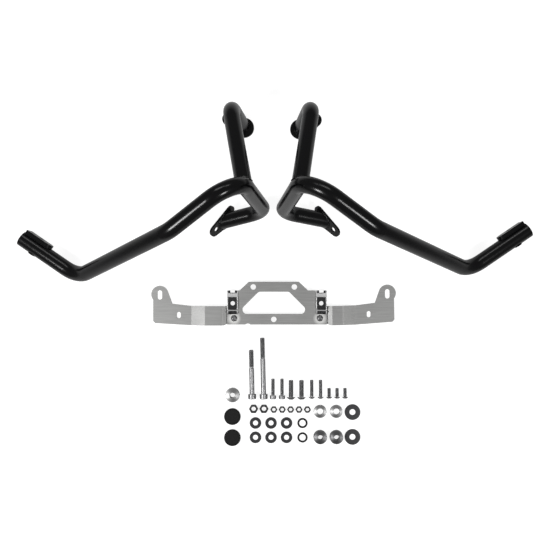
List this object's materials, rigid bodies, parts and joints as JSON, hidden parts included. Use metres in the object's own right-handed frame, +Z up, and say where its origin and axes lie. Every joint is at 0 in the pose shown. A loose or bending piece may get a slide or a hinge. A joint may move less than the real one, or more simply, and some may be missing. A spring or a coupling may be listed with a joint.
{
  "type": "motorcycle crash bar kit",
  "caption": "Pair of bent tube crash bars laid out flat with a folded centre bracket and the screws, nuts, washers, spacers and plugs that fit them.",
  "frame": {"origin": "middle of the kit's footprint, on the floor it lies on", "axes": "+X across the kit towards the right bar, +Y up the layout away from the loose screws, +Z up from the floor"},
  "size_m": [0.8409, 0.5492, 0.2277],
  "materials": {
    "black_coat": "semi-gloss black powder coat",
    "bare_steel": "satin bare steel sheet",
    "dark_steel": "dark plated steel",
    "bright_steel": "turned bright steel",
    "black_plastic": "grained black plastic",
    "rubber": "black rubber"
  },
  "bodies": {
    "root": {"left_main_tube": "black_coat", "left_leg_tube": "black_coat", "left_foot_plate": "black_coat", "left_tab_plate": "black_coat", "left_end_plate": "black_coat", "left_cross_sleeve": "black_coat", "right_main_tube": "black_coat", "right_leg_tube": "black_coat", "right_foot_plate": "black_coat", "right_tab_plate": "black_coat", "right_end_plate": "black_coat", "right_cross_sleeve": "black_coat", "bracket_plate": "bare_steel", "left_arm": "bare_steel", "right_arm": "bare_steel", "left_clip_nut": "dark_steel", "right_clip_nut": "dark_steel", "left_joint_screw": "bright_steel", "right_joint_screw": "bright_steel", "left_joint_nut": "dark_steel", "right_joint_nut": "dark_steel", "socket_screw_m8_short": "dark_steel", "socket_screw_m8_long": "dark_steel", "socket_screws_m6": "dark_steel", "button_screws_m8": "dark_steel", "button_screws_m6": "dark_steel", "short_button_screws_m6": "dark_steel", "nuts_m8": "dark_steel", "nuts_m6": "dark_steel", "plain_washers": "dark_steel", "wide_washers": "dark_steel", "rubber_rings": "rubber", "large_spacer": "bright_steel", "open_spacers": "bright_steel", "thick_spacers": "bright_steel", "tube_plugs": "black_plastic"}
  },
  "joints": []
}
